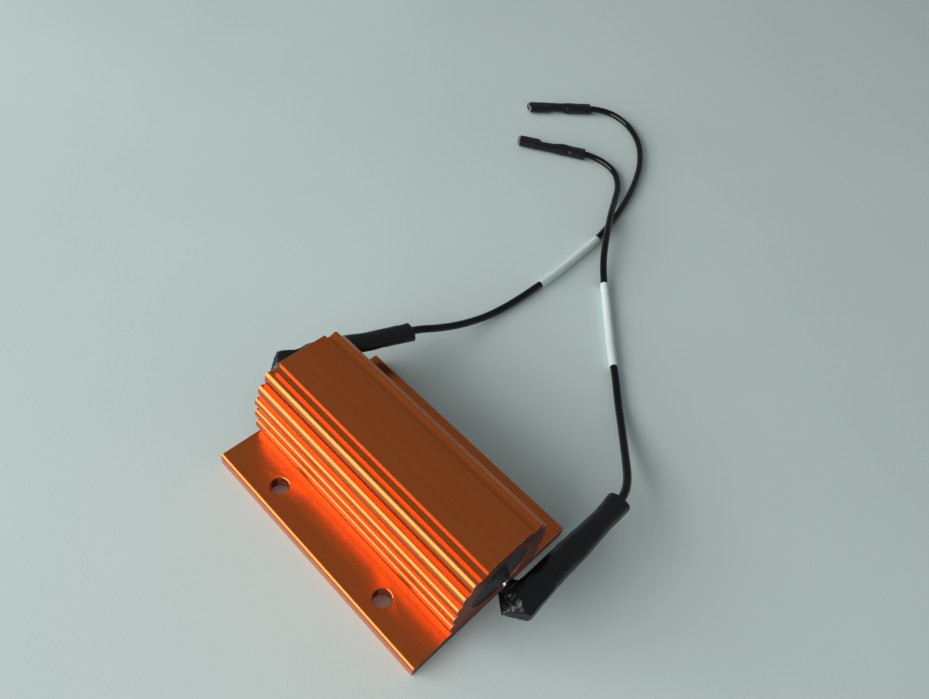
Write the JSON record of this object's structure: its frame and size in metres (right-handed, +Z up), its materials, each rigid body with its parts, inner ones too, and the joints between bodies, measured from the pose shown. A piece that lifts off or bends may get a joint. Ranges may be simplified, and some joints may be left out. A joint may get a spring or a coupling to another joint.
{
  "type": "aluminium housed power resistor",
  "caption": "Finned aluminium housed wirewound power resistor on a flanged base, with two black leads that end in covered push-on receptacles.",
  "frame": {"origin": "centre of the mounting face, on the surface that the resistor is fixed to", "axes": "+X along the extruded housing, +Y across it towards the side on which the leads run off, +Z up from the mounting face"},
  "size_m": [0.1306, 0.1929, 0.0241],
  "materials": {
    "anodised_aluminium": "extruded aluminium, satin orange anodising",
    "potting": "dark grey moulded filling, slightly rough",
    "steatite": "unglazed white ceramic",
    "resistance_wire": "bare drawn resistance wire, dull",
    "plated_steel": "pressed plated steel",
    "tinned_metal": "bright tin plating on pressed sheet",
    "solder": "smooth bright solder",
    "copper_strands": "bare copper strands",
    "heat_shrink": "black heat-shrunk tubing, satin, lightly wrinkled",
    "wire_insulation": "glossy black insulation",
    "marker_sleeve": "smooth white marker tubing"
  },
  "bodies": {
    "root": {"housing": "anodised_aluminium", "moulding": "potting", "ceramic_core": "steatite", "resistance_winding": "resistance_wire", "end_cap_left": "plated_steel", "end_cap_right": "plated_steel", "terminal_left": "tinned_metal", "terminal_right": "tinned_metal", "solder_left": "solder", "solder_right": "solder", "strands_left": "copper_strands", "strands_right": "copper_strands", "lug_sleeve_left": "heat_shrink", "lug_sleeve_right": "heat_shrink", "lead_wire_left": "wire_insulation", "lead_wire_right": "wire_insulation", "marker_left": "marker_sleeve", "marker_right": "marker_sleeve", "receptacle_left": "tinned_metal", "receptacle_right": "tinned_metal", "receptacle_cover_left": "heat_shrink", "receptacle_cover_right": "heat_shrink"}
  },
  "joints": []
}
